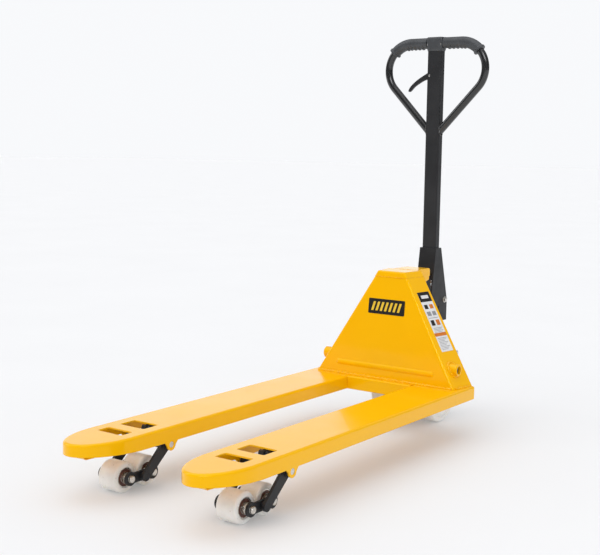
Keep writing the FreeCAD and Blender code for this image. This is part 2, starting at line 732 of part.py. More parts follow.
def loop_path():
    """One half of the loop's centre line, from the middle of the grip round to the post."""
    end_angle = math.radians(-loop_angle)
    middle_angle = math.radians((90 - loop_angle) / 2)
    centre = Vector(loop_half_straight, post_y, loop_z)

    def on_arc(angle):
        return centre + Vector(loop_radius * math.cos(angle), 0, loop_radius * math.sin(angle))

    start = Vector(0, post_y, loop_z + loop_radius)
    arc_start = on_arc(math.pi / 2)
    arc_end = on_arc(end_angle)
    run = (arc_end.x - post_width / 2 + 4) / math.sin(math.radians(loop_angle))
    foot = arc_end + Vector(-run * math.sin(math.radians(loop_angle)), 0,
                            -run * math.cos(math.radians(loop_angle)))
    arc = Part.Arc(arc_start, on_arc(middle_angle), arc_end).toShape()
    return [Part.makeLine(start, arc_start), arc, Part.makeLine(arc_end, foot)]


def loop_half():
    edges = loop_path()
    profile = Part.Wire(Part.makeCircle(loop_tube_r, edges[0].Vertexes[0].Point, Vector(1, 0, 0)))
    return Part.Wire(edges).makePipeShell([profile], True, True)


def handle_loop():
    halves = [loop_half()]
    halves.append(halves[0].mirror(Vector(0, 0, 0), Vector(1, 0, 0)))
    post_space = box(-post_width / 2, post_width / 2, post_y - 30, post_y + 30, 800, grip_top - 60)
    return fuse_all(halves).cut(post_space)


def grip(side):
    """One moulded half of the grip: a sleeve, its finger ribs and its end collar."""
    edges = loop_path()
    cover_angle = math.radians(42.0)
    centre = Vector(loop_half_straight, post_y, loop_z)
    inner_x = 29.0
    start = Vector(inner_x, post_y, loop_z + loop_radius)
    arc_start = edges[1].Vertexes[0].Point

    def on_arc(angle):
        return centre + Vector(loop_radius * math.cos(angle), 0, loop_radius * math.sin(angle))

    arc = Part.Arc(arc_start, on_arc((math.pi / 2 + cover_angle) / 2), on_arc(cover_angle)).toShape()
    path = Part.Wire([Part.makeLine(start, arc_start), arc])
    sleeve = path.makePipeShell([Part.Wire(Part.makeCircle(grip_r, start, Vector(1, 0, 0)))], True, True)
    ribs = [Part.makeSphere(9.0, Vector(x, post_y, loop_z + loop_radius - 12.5))
            for x in [48 + 14 * k for k in range(5)]]
    heading = Vector(-math.sin(cover_angle), 0, math.cos(cover_angle))
    collar = Part.makeCylinder(grip_r + 2.5, 7, on_arc(cover_angle), heading)
    body = fuse_all([sleeve, collar] + ribs)
    top_plane = box(-10, 220, post_y - 40, post_y + 40, grip_top, grip_top + 20)
    tube = loop_half()
    body = cut_all(body, [tube, top_plane])
    if side < 0:
        body = body.mirror(Vector(0, 0, 0), Vector(1, 0, 0))
    return body


def grip_block():
    """The block that ties the two grip halves to the top of the post."""
    block = box(-29, 29, post_y - 19, post_y + 19, grip_top - 2 * grip_r - 8, grip_top)
    block = block.makeFillet(4.0, long_edges(block, lambda e: abs(e.tangentAt(0).z) > 0.9
                                             or e.CenterOfMass.z > grip_top - 1))
    tube = Part.makeCylinder(loop_tube_r, 80, Vector(-40, post_y, loop_z + loop_radius), Vector(1, 0, 0))
    post = box(-post_width / 2, post_width / 2, post_y - post_depth / 2, post_y + post_depth / 2,
               1100, grip_top - grip_r - 24)
    return cut_all(block, [tube, post])


def cam_roller():
    return tube_x(cam_r, 6.1, -11, 11, cam_y, cam_z)


def cam_roller_bolt():
    shank = rod_x(6.0, -32, 32, cam_y, cam_z)
    head = hexagon(9.0, 30.4, 37, cam_y, cam_z)
    nut = hexagon(9.0, -37, -30.4, cam_y, cam_z)
    return fuse_all([shank, head, nut])


def lever_pin():
    return Part.makeCylinder(3.5, post_depth + 2, Vector(-17, post_y - post_depth / 2 - 1, lever_root_z()),
                             Vector(0, 1, 0))


def control_lever():
    """The three-position finger lever: a curved, tapering paddle out of the post's side."""
    z = lever_root_z()
    outline = [(-10, 8), (-26, 11), (-46, 0), (-66, -12), (-84, -26), (-98, -43), (-100, -49),
               (-95, -51), (-90, -47), (-80, -37), (-62, -25), (-40, -14), (-26, -12), (-10, -8)]
    upper = [Vector(x, post_y - 4.4, z + dz) for x, dz in outline[1:7]]
    lower = [Vector(x, post_y - 4.4, z + dz) for x, dz in outline[7:13]]
    top_curve = Part.BSplineCurve()
    top_curve.interpolate(upper)
    low_curve = Part.BSplineCurve()
    low_curve.interpolate(lower)
    first = Vector(outline[0][0], post_y - 4.4, z + outline[0][1])
    last = Vector(outline[-1][0], post_y - 4.4, z + outline[-1][1])
    edges = [Part.makeLine(first, upper[0]), top_curve.toShape(), Part.makeLine(upper[-1], lower[0]),
             low_curve.toShape(), Part.makeLine(lower[-1], last), Part.makeLine(last, first)]
    blade = Part.Face(Part.Wire(edges)).extrude(Vector(0, 8.8, 0))
    hub = Part.makeCylinder(8.0, 8.8, Vector(-17, post_y - 4.4, z), Vector(0, 1, 0))
    inner_tab = box(-17, 8, post_y - 4.4, post_y + 4.4, z - 7, z + 3)
    hole = Part.makeCylinder(3.6, 20, Vector(-17, post_y - 10, z), Vector(0, 1, 0))
    return fuse_all([blade, hub, inner_tab]).cut(hole)


def control_rod():
    """The thin rod inside the post that links the finger lever to the pump's valve."""
    return rod_z(2.0, 440, lever_root_z() - 8.5, 4, post_y)


# ---------------------------------------------------------------- output
def save(name, shapes):
    shape = shapes[0] if len(shapes) == 1 else Part.makeCompound(shapes)
    shape = shape.copy()
    shape.translate(Vector(0, foot_y, 0))
    shape.exportStep(os.path.join("parts", name + ".step"))


def save_frame():
    right, left = both_sides(right_fork)
    save("fork_right", [right])
    save("fork_left", [left])
    save("nose_skids", [nose_skid(side) for side in (-1, 1)])
    save("fork_ribs", [fork_rib(side, y) for side in (-1, 1) for y in (-620.0, -280.0)])
    save("roller_arm_pins", [roller_arm_pin(side) for side in (-1, 1)])
    save("heel_frame", [heel_frame()])
    save("tower_shell", [tower_shell()])
    save("tower_cap", [tower_cap()])
    save("ram_head_bracket", [ram_head_bracket()])
    save("rocker_bosses", both_sides(rocker_boss))
    save("lift_ram", [lift_ram()])
    save("capacity_plate", [capacity_plate()])
    save("side_label", [side_label()])


def save_linkage():
    save("rocker_shaft", [rocker_shaft()])
    save("rocker_yoke", [rocker_yoke()])
    save("rocker_pins", both_sides(thrust_pin) + both_sides(drive_pin))
    save("drive_levers", both_sides(drive_lever))
    for word, side in (("left", -1), ("right", 1)):
        save("push_rod_" + word, [push_rod(side)])
        save("roller_arm_" + word, [roller_arm(side)])
        save("bogie_" + word, [bogie(side)])
        save("roller_axles_" + word, [roller_axle(side, end) for end in (-1, 1)])
        for place, end in (("front", -1), ("rear", 1)):
            save("fork_roller_" + word + "_" + place, [fork_roller(side, end)])
            save("roller_bearings_" + word + "_" + place, [roller_bearings(side, end)])


def save_pump():
    save("thrust_ring", [thrust_ring()])
    save("pump_housing", [pump_housing()])
    save("lift_cylinder", [lift_cylinder()])
    save("gland_nut", [gland_nut()])
    save("plunger_barrel", [plunger_barrel()])
    save("steer_axle", [steer_axle()])
    save("axle_end_rings", both_sides(axle_end_ring))
    save("filler_plug", [filler_plug()])
    save("handle_pivot_pin", [handle_pivot_pin()])
    save("release_valve", [release_valve()])
    save("release_lever", [release_lever()])
    save("pump_plunger", [pump_plunger()])
    save("return_spring", [return_spring()])
    for word, side in (("left", -1), ("right", 1)):
        save("steer_wheel_" + word, [steer_wheel(side)])
        save("steer_bearings_" + word, [steer_bearings(side)])


def save_handle():
    save("handle_post", [handle_post()])
    save("handle_bracket", [handle_bracket()])
    save("handle_loop", [handle_loop()])
    save("grip_left", [grip(-1)])
    save("grip_right", [grip(1)])
    save("grip_block", [grip_block()])
    save("cam_roller", [cam_roller()])
    save("handle_bolts", [cam_roller_bolt(), lever_pin()])
    save("control_lever", [control_lever()])
    save("control_rod", [control_rod()])


os.makedirs("parts", exist_ok=True)
save_frame()
save_linkage()
save_pump()
save_handle()
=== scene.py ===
import json
import math
import random

import bmesh
import bpy
from mathutils import Matrix, Vector

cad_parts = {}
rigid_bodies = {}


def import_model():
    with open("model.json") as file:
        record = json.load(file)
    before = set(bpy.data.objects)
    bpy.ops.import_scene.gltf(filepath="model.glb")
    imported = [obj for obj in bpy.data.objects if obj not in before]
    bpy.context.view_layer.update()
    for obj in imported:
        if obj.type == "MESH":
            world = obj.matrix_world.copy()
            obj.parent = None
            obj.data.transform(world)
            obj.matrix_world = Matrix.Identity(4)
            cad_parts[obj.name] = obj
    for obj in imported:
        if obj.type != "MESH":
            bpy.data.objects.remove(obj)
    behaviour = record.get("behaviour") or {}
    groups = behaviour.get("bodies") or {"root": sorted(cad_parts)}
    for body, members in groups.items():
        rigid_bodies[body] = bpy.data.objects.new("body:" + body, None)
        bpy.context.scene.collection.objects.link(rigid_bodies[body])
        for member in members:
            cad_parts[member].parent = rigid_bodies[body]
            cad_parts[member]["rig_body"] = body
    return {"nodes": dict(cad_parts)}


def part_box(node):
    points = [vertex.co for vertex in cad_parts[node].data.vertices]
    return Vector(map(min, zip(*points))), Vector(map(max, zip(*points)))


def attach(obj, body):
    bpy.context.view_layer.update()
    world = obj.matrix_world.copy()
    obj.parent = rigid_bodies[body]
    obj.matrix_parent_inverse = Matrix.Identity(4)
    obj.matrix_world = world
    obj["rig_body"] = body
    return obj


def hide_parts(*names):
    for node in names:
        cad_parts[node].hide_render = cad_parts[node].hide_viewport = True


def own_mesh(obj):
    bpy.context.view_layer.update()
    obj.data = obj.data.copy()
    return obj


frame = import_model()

for leftover in [o for o in bpy.data.objects if o.type in ("CAMERA", "LIGHT") or o.name == "Cube"]:
    bpy.data.objects.remove(leftover)
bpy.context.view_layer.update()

nodes = frame["nodes"]
scene = bpy.context.scene
fork_x = (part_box("fork_right")[0].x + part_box("fork_right")[1].x) / 2
fork_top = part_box("fork_right")[1].z
heel_ledge = 0.028                       # the heel frame's front edge to the tower's front plate
foot_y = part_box("heel_frame")[0].y + heel_ledge
post_y = (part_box("handle_post")[0].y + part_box("handle_post")[1].y) / 2


def centre_of(node):
    low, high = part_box(node)
    return (low + high) / 2


def half_of(node):
    low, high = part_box(node)
    return (high - low) / 2


def body_of(node):
    return nodes[node]["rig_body"]


# ---------------------------------------------------------------- shader nodes
def noise(tree, place, size, detail=3.0):
    """A noise pattern over a place."""
    node = tree.nodes.new("ShaderNodeTexNoise")
    node.inputs["Scale"].default_value = size
    node.inputs["Detail"].default_value = detail
    tree.links.new(place, node.inputs["Vector"])
    return node.outputs["Fac"]


def ranged(tree, value, low, high, to_low=0.0, to_high=1.0, kind="LINEAR"):
    """A value stretched from one range to another, and held at its ends."""
    node = tree.nodes.new("ShaderNodeMapRange")
    node.interpolation_type = kind
    for socket, number in zip(("From Min", "From Max", "To Min", "To Max"), (low, high, to_low, to_high)):
        node.inputs[socket].default_value = number
    tree.links.new(value, node.inputs["Value"])
    return node.outputs["Result"]


def mixed(tree, share, first, second):
    """Two colours mixed by a share. A colour is a socket or three numbers."""
    node = tree.nodes.new("ShaderNodeMix")
    node.data_type = "RGBA"
    tree.links.new(share, node.inputs["Factor"])
    for socket, colour in (("A", first), ("B", second)):
        target = [s for s in node.inputs if s.name == socket and s.type == "RGBA"][0]
        if isinstance(colour, bpy.types.NodeSocket):
            tree.links.new(colour, target)
        else:
            target.default_value = (*colour, 1.0)
    return [s for s in node.outputs if s.type == "RGBA"][0]


def bumped(tree, height, distance, normal):
    """A normal with a relief on top of it, as deep as distance."""
    node = tree.nodes.new("ShaderNodeBump")
    node.inputs["Strength"].default_value = 1.0
    node.inputs["Distance"].default_value = distance
    tree.links.new(height, node.inputs["Height"])
    tree.links.new(normal, node.inputs["Normal"])
    return node.outputs["Normal"]


def combined(tree, operation, first, second):
    """A sum or product of two values. Each is a socket or a number."""
    node = tree.nodes.new("ShaderNodeMath")
    node.operation = operation
    for socket, value in zip(node.inputs, (first, second)):
        if isinstance(value, float):
            socket.default_value = value
        else:
            tree.links.new(value, socket)
    return node.outputs["Value"]


# ---------------------------------------------------------------- finishes
wave_size = 22.0                         # how many slow waves a sheet has in a metre
rough_share = 3.1                        # roughness patches are this much smaller than colour patches
speck_edge = 0.06                        # how soft a speck's edge is


def finish(name, light, dark, patch=9.0, rough=(0.35, 0.45), metallic=0.0, coat=0.0, coat_rough=0.05,
           grain=900.0, depth=0.00002, stretch=(1, 1, 1), waves=0.0, subsurface=0.0,
           specular=0.5, tint=(1, 1, 1), speck=None, edge_round=0.0012):
    """A painted, metal or moulded surface: patchy colour, patchy roughness and a fine relief.

    Grain and depth shape the fine relief and waves the slow one. Speck is (colour, size, threshold).
    """
    material = bpy.data.materials.new(name)
    material.use_nodes = True
    tree = material.node_tree
    surface = tree.nodes["Principled BSDF"]
    constants = {"Metallic": metallic, "Coat Weight": coat, "Coat Roughness": coat_rough,
                 "Specular IOR Level": specular, "Specular Tint": (*tint, 1.0),
                 "Subsurface Weight": subsurface, "Subsurface Radius": (0.004, 0.003, 0.002)}
    for socket, constant in constants.items():
        surface.inputs[socket].default_value = constant
    scale = tree.nodes.new("ShaderNodeMapping")
    scale.inputs["Scale"].default_value = stretch
    tree.links.new(tree.nodes.new("ShaderNodeTexCoord").outputs["Object"], scale.inputs["Vector"])
    place = scale.outputs["Vector"]

    colour = mixed(tree, ranged(tree, noise(tree, place, patch), 0.35, 0.65), dark, light)
    if speck:
        speck_colour, speck_size, speck_from = speck
        share = ranged(tree, noise(tree, place, speck_size, 6.0), speck_from, speck_from + speck_edge)
        colour = mixed(tree, share, colour, speck_colour)
    tree.links.new(colour, surface.inputs["Base Color"])
    roughness = ranged(tree, noise(tree, place, patch * rough_share, 4.0), 0.3, 0.7, *rough)
    tree.links.new(roughness, surface.inputs["Roughness"])

    edge = tree.nodes.new("ShaderNodeBevel")
    edge.samples = 4
    edge.inputs["Radius"].default_value = edge_round
    normal = edge.outputs["Normal"]
    if waves:
        normal = bumped(tree, noise(tree, place, wave_size, 1.0), waves, normal)
        tree.links.new(normal, surface.inputs["Coat Normal"])
    normal = bumped(tree, noise(tree, place, grain, 2.0), depth, normal)
    tree.links.new(normal, surface.inputs["Normal"])
    return material


yellow = finish("paint_yellow", (0.98, 0.51, 0.0005), (0.96, 0.49, 0.0005), patch=5.0, rough=(0.18, 0.26),
                coat=0.25, coat_rough=0.04, grain=450.0, depth=0.00001, waves=0.00006,
                tint=(1.0, 0.74, 0.05), edge_round=0.0022)
weld_yellow = finish("weld_yellow", (0.98, 0.50, 0.002), (0.93, 0.45, 0.001), patch=60.0,
                     rough=(0.2, 0.35), coat=0.3, coat_rough=0.1, grain=700.0, depth=0.0002,
                     tint=(1.0, 0.74, 0.05))
powder = finish("powder_black", (0.027, 0.0275, 0.030), (0.019, 0.0195, 0.0215), patch=14.0,
                rough=(0.36, 0.46), grain=1300.0, depth=0.00006, specular=0.25)
gloss = finish("gloss_black", (0.013, 0.0135, 0.015), (0.008, 0.0085, 0.009), patch=14.0, rough=(0.2, 0.28),
               coat=0.6, coat_rough=0.08, grain=600.0, depth=0.00002)
weld_black = finish("weld_black", (0.035, 0.035, 0.037), (0.02, 0.02, 0.021), patch=90.0, rough=(0.25, 0.4),
                    grain=900.0, depth=0.0002, speck=((0.45, 0.45, 0.46), 420.0, 0.60))
casting = finish("casting_black", (0.040, 0.040, 0.042), (0.022, 0.022, 0.024), patch=30.0, rough=(0.4, 0.6),
                 grain=260.0, depth=0.0004)
zinc = finish("zinc_steel", (0.78, 0.76, 0.72), (0.62, 0.60, 0.55), patch=60.0, rough=(0.22, 0.36),
              metallic=1.0, grain=1500.0, depth=0.00003)
chrome = finish("chromed_steel", (0.86, 0.86, 0.87), (0.78, 0.78, 0.80), patch=20.0, rough=(0.06, 0.12),
                metallic=1.0, grain=900.0, depth=0.000005, stretch=(1, 1, 12))
greased = finish("greased_steel", (0.16, 0.14, 0.12), (0.07, 0.06, 0.05), patch=50.0, rough=(0.25, 0.5),
                 metallic=0.8, grain=700.0, depth=0.00005)
spring_steel = finish("spring_steel", (0.30, 0.30, 0.31), (0.18, 0.18, 0.19), patch=80.0, rough=(0.25, 0.4),
                      metallic=1.0, grain=1400.0, depth=0.00003)
nylon = finish("nylon_white", (0.90, 0.89, 0.86), (0.80, 0.785, 0.75), patch=26.0, rough=(0.30, 0.45),
               subsurface=0.12, grain=1100.0, depth=0.00004, speck=((0.55, 0.52, 0.47), 120.0, 0.66))
seal = finish("bearing_seal", (0.13, 0.045, 0.03), (0.07, 0.028, 0.02), patch=90.0, rough=(0.4, 0.6),
              grain=1800.0, depth=0.00005)
plastic = finish("grip_charcoal", (0.058, 0.062, 0.068), (0.042, 0.045, 0.050), patch=30.0,
                 rough=(0.38, 0.5), grain=1600.0, depth=0.00012)
sign_black = finish("sign_black", (0.012, 0.011, 0.010), (0.008, 0.008, 0.007), patch=40.0, rough=(0.28, 0.4),
                    grain=900.0, depth=0.00001, specular=0.4)
sign_yellow = finish("sign_yellow", (0.88, 0.60, 0.03), (0.80, 0.52, 0.02), patch=60.0, rough=(0.3, 0.4),
                     grain=900.0, depth=0.00001)
sticker = finish("sticker_white", (0.80, 0.80, 0.80), (0.72, 0.72, 0.72), patch=40.0, rough=(0.25, 0.35),
                 grain=900.0, depth=0.00001)
print_grey = finish("print_grey", (0.33, 0.33, 0.34), (0.25, 0.25, 0.26), patch=200.0, rough=(0.3, 0.4))
print_orange = finish("print_orange", (0.72, 0.20, 0.015), (0.62, 0.16, 0.01), patch=90.0, rough=(0.3, 0.4))
print_dark = finish("print_dark", (0.022, 0.018, 0.018), (0.013, 0.012, 0.012), patch=90.0, rough=(0.3, 0.4))


def dress(obj, material):
    obj.data.materials.clear()
    obj.data.materials.append(material)
    return obj


slot_finish = {"yellow_paint": yellow, "black_paint": powder, "bright_steel": zinc, "white_nylon": nylon,
               "bearing_seal": seal, "grip_plastic": plastic, "sign_black": sign_black,
               "sticker_white": sticker}
node_finish = {"handle_loop": gloss, "handle_pivot_pin": powder, "pump_housing": casting,
               "lift_cylinder": casting, "lift_ram": chrome, "pump_plunger": chrome,
               "rocker_shaft": greased, "thrust_ring": casting, "plunger_barrel": casting}
for node_name, node in nodes.items():
    own = node_finish.get(node_name, slot_finish[node.data.materials[0].name])
    for index in range(len(node.data.materials)):
        node.material_slots[index].material = own


# ---------------------------------------------------------------- mesh tools
def new_piece(name, vertices, faces, material, slot_name, body, crease=38.0):
    """A mesh piece from its points and faces, shaded smooth up to the crease angle."""
    mesh = bpy.data.meshes.new(name)
    mesh.from_pydata([tuple(v) for v in vertices], [], faces)
    build = bmesh.new()
    build.from_mesh(mesh)
    bmesh.ops.remove_doubles(build, verts=build.verts, dist=0.000002)
    bmesh.ops.recalc_face_normals(build, faces=build.faces)
    build.to_mesh(mesh)
    build.free()
    mesh.shade_smooth()
    mesh.set_sharp_from_angle(angle=math.radians(crease))
    piece = bpy.data.objects.new(name, mesh)
    scene.collection.objects.link(piece)
    dress(piece, material)
    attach(piece, body)
    return piece


def rounded(corners, closed=True, steps=6):
    """Corners given as (a, b, radius) turned into a line with round corners."""
    line = []
    count = len(corners)
    for i, (a, b, radius) in enumerate(corners):
        here = Vector((a, b))
        if radius == 0 or (not closed and i in (0, count - 1)):
            line.append(here)
            continue
        before = Vector(corners[i - 1][:2]) - here
        after = Vector(corners[(i + 1) % count][:2]) - here
        half = before.angle(after) / 2
        reach = min(radius / math.tan(half), before.length * 0.49, after.length * 0.49)
        middle = here + (before.normalized() + after.normalized()).normalized() * (reach / math.cos(half))
        start = here + before.normalized() * reach - middle
        turn = start.angle_signed(here + after.normalized() * reach - middle)
        for k in range(steps + 1):
            spun = start.copy()
            spun.rotate(Matrix.Rotation(-turn * k / steps, 2))
            line.append(middle + spun)
    return line


def lathe(profile, centre, axis="x", around=72, closed=True):
    """Points and faces of a profile of (along, radius) turned about an axis through centre."""
    vertices, faces = [], []
    rows = len(profile)
    for i in range(around):
        angle = 2 * math.pi * i / around
        for along, radius in profile:
            u, v = radius * math.cos(angle), radius * math.sin(angle)
            offset = {"x": (along, u, v), "y": (u, along, v), "z": (u, v, along)}[axis]
            vertices.append(Vector(centre) + Vector(offset))
    for i in range(around):
        for j in range(rows if closed else rows - 1):
            a, b = i * rows, ((i + 1) % around) * rows
            k = (j + 1) % rows
            faces.append((a + j, b + j, b + k, a + k))
    return vertices, faces


def merged(parts):
    """Several (points, faces) as one."""
    vertices, faces = [], []
    for more_vertices, more_faces in parts:
        start = len(vertices)
        vertices += list(more_vertices)
        faces += [tuple(start + i for i in face) for face in more_faces]
    return vertices, faces


def resampled(path, step, loop=False):
    """Points every step along a path."""
    points = [Vector(p) for p in path] + ([Vector(path[0])] if loop else [])
    lengths = [0.0]
    for first, second in zip(points, points[1:]):
        lengths.append(lengths[-1] + (second - first).length)
    count = max(3, round(lengths[-1] / step))
    result, j = [], 0
    for i in range(count if loop else count + 1):
        target = lengths[-1] * i / count
        while j < len(points) - 2 and lengths[j + 1] < target:
            j += 1
        share = (target - lengths[j]) / max(lengths[j + 1] - lengths[j], 1e-9)
        result.append(points[j].lerp(points[j + 1], min(share, 1.0)))
    return result


def sweep(path, radius_at, side, sections=16, loop=False, capped=True):
    """A tube along path. radius_at(index, angle) gives its radius; angle 0 points along side."""
    vertices, faces = [], []
    count = len(path)
    for i, point in enumerate(path):
        ahead = path[(i + 1) % count] if loop or i < count - 1 else point
        behind = path[i - 1] if loop or i else point
        heading = (ahead - behind).normalized()
        way = side(point) if callable(side) else Vector(side)
        across = (way - heading * way.dot(heading)).normalized()
        third = heading.cross(across)
        for k in range(sections):
            angle = 2 * math.pi * k / sections
            r = radius_at(i, angle)
            vertices.append(point + across * (r * math.cos(angle)) + third * (r * math.sin(angle)))
    for i in range(count if loop else count - 1):
        a, b = i * sections, ((i + 1) % count) * sections
        for k in range(sections):
            n = (k + 1) % sections
            faces.append((a + k, a + n, b + n, b + k))
    if capped and not loop:
        faces.append(tuple(range(sections - 1, -1, -1)))
        faces.append(tuple(range((count - 1) * sections, count * sections)))
    return vertices, faces


def weld(name, paths, radius, body, side=(0, 0, 1), material=weld_yellow, slot_name="yellow_paint",
         loop=False, seed=1):
    """A hand-laid weld along each path: overlapping ripples of uneven size."""
    dice = random.Random(seed)
    parts = []
    for path in paths:
        points = resampled(path, radius * 0.36, loop)
        size, swell, sizes = 1.0, 0.0, []
        for i in range(len(points)):
            size += dice.uniform(-0.09, 0.09) + (1.0 - size) * 0.12
            swell += dice.uniform(-0.03, 0.03) - swell * 0.02
            ripple = 0.80 + 0.24 * abs(math.sin(math.pi * i / 5.3 + 4.0 * swell))
            sizes.append(radius * (size + swell) * ripple)
            points[i] = points[i] + Vector([dice.uniform(-0.08, 0.08) * radius for number in range(3)])
        if loop:
            sizes[-1] = (sizes[-2] + sizes[0]) / 2
        parts.append(sweep(points, lambda i, angle: sizes[i], side, 10, loop))
    return new_piece(name, *merged(parts), material, slot_name, body, 60.0)


def prism(outline, x0, x1, axis="x"):
    """An outline extruded from x0 to x1. Axis x takes (y, z), axis y takes (x, z), axis z takes (x, y)."""
    count = len(outline)
    order = {"x": lambda a, b, t: (t, a, b), "y": lambda a, b, t: (a, t, b), "z": lambda a, b, t: (a, b, t)}
    vertices = [order[axis](a, b, t) for t in (x0, x1) for a, b in outline]
    faces = [tuple(range(count)), tuple(range(2 * count - 1, count - 1, -1))]
    faces += [(i, (i + 1) % count, count + (i + 1) % count, count + i) for i in range(count)]
    return vertices, faces


def hex_head(centre, axis, radius, height, around=48):
    """A hexagonal head or nut with a chamfered outer rim, its flat base at centre."""
    inner = radius * math.cos(math.pi / 6)
    rows = []
    for along_of, radius_of in ((lambda r: 0.0, lambda r: r),
                                (lambda r: height - (r - inner * 0.97) * 0.58, lambda r: r),
                                (lambda r: height, lambda r: inner * 0.94),
                                (lambda r: height, lambda r: 0.0)):
        row = []
        for i in range(around):
            angle = 2 * math.pi * i / around
            edge = inner / math.cos((angle % (math.pi / 3)) - math.pi / 6)
            row.append((along_of(edge), radius_of(edge) * math.cos(angle), radius_of(edge) * math.sin(angle)))
        rows.append(row)
    way = Vector(axis).normalized()
    first = way.orthogonal().normalized()
    second = way.cross(first)
    vertices = [Vector(centre) + way * t + first * u + second * v for row in rows for t, u, v in row]
    faces = [tuple(range(around))]
    for j in range(3):
        faces += [(j * around + i, j * around + (i + 1) % around, (j + 1) * around + (i + 1) % around,
                   (j + 1) * around + i) for i in range(around)]
    return vertices, faces


# ---------------------------------------------------------------- rollers and wheels
def roller_pieces():
    """Each fork roller: a moulded tyre with round shoulders and a bearing seat at each face."""
    seat_r, core_r = 0.0262, 0.021
    for side in ("left", "right"):
        for place in ("front", "rear"):
            node = "fork_roller_" + side + "_" + place
            half, radius = half_of(node).x, half_of(node).z
            seat = half - 0.014
            corners = [(-half, seat_r, 0.0012), (-half, radius, 0.0095), (half, radius, 0.0095),
                       (half, seat_r, 0.0012), (seat, seat_r, 0), (seat, core_r, 0), (-seat, core_r, 0),
                       (-seat, seat_r, 0)]
            tyre = new_piece("nylon_roller_" + side + "_" + place,
                             *lathe(rounded(corners, steps=9), centre_of(node), around=96),
                             nylon, "white_nylon", body_of(node))
            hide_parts(node)
            bearing_pieces("roller_bearings_" + side + "_" + place, face=half - 0.002, depth=0.012,
                           bore=0.010, outer=0.0258)


def bearing_pieces(node, face, depth, bore, outer):
    """A sealed ball bearing at each face: steel races and a recessed seal between them."""
    races, seals = [], []
    inner_race, outer_race = 0.0045, 0.003
    for way in (-1, 1):
        def at(inset):
            return way * (face - inset)
        for low, high in ((bore + 0.0001, bore + inner_race), (outer - outer_race, outer)):
            ring = [(at(0), low, 0.0004), (at(0), high, 0.0004), (at(depth), high, 0), (at(depth), low, 0)]
            races.append(lathe(rounded(ring, steps=2), centre_of(node), around=64))
        low, high = bore + inner_race, outer - outer_race
        lip = [(at(0.0004), low, 0), (at(0.0004), low + 0.002, 0.0003), (at(0.0013), low + 0.003, 0.0003),
               (at(0.0013), high - 0.002, 0.0003), (at(0.0006), high - 0.001, 0.0003),
               (at(0.0006), high, 0), (at(depth - 0.001), high, 0), (at(depth - 0.001), low, 0)]
        seals.append(lathe(rounded(lip, steps=2), centre_of(node), around=64))
    name = node.replace("bearings", "bearing")
    seal_piece = new_piece(name + "_seals", *merged(seals), seal, "bearing_seal", body_of(node))
    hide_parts(node)
    new_piece(name + "_races", *merged(races), zinc, "bright_steel", body_of(node))


def axle_pieces():
    """Each axle: round heads, a shank through the bogie plates, and a spacer beside the roller."""
    head_r, shank_r, spacer_r = 0.0095, 0.0099, 0.015
    plate_outer, plate_inner = 0.0502, 0.0429
    for side in ("left", "right"):
        node = "roller_axles_" + side
        reach = half_of(node).x
        gap = half_of("fork_roller_" + side + "_front").x + 0.0005
        half_line = [(-reach, 0, 0), (-reach, head_r, 0.0028), (-plate_outer, head_r, 0),
                     (-plate_outer, shank_r, 0), (-plate_inner, shank_r, 0), (-plate_inner, spacer_r, 0.001),
                     (-gap, spacer_r, 0.001), (-gap, shank_r, 0)]
        corners = half_line + [(-along, radius, turn) for along, radius, turn in reversed(half_line)]
        profile = rounded(corners, closed=False)
        middle = centre_of(node)
        pitch = half_of(node).y - spacer_r
        parts = [lathe(profile, middle + Vector((0, way * pitch, 0)), around=48, closed=False)
                 for way in (-1, 1)]
        pins = new_piece("axle_pins_" + side, *merged(parts), zinc, "bright_steel", body_of(node))
        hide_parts(node)


def steering_pieces():
    """Each steering wheel: a hub, a recessed web and a tread with round shoulders."""
    for side in ("left", "right"):
        node = "steer_wheel_" + side
        half, radius = half_of(node).x, half_of(node).z
        corners = []
        for way in (-1, 1):
            hub, web = way * (half - 0.001), way * (half - 0.006)
            run = [(hub, 0.0236, 0.0008), (hub, 0.0335, 0.0012), (web, 0.0355, 0.0015),
                   (web, 0.071, 0.002), (way * half, 0.0745, 0.0015), (way * half, radius, 0.0085)]
            corners += run if way < 0 else run[::-1]
        tyre = new_piece("nylon_wheel_" + side, *lathe(rounded(corners), centre_of(node), around=120),
                         nylon, "white_nylon", body_of(node))
        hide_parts(node)
        bearing_pieces("steer_bearings_" + side, face=half - 0.001, depth=0.014, bore=0.010, outer=0.0234)


# ---------------------------------------------------------------- handle
loop_half = 0.0925                       # half the loop's straight top
loop_reach = 0.086                       # radius of the loop's bends
grip_radius = 0.0185
loop_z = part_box("grip_left")[1].z - grip_radius - loop_reach
rib_from, rib_to, rib_pitch = 0.012, 0.086, 0.0148


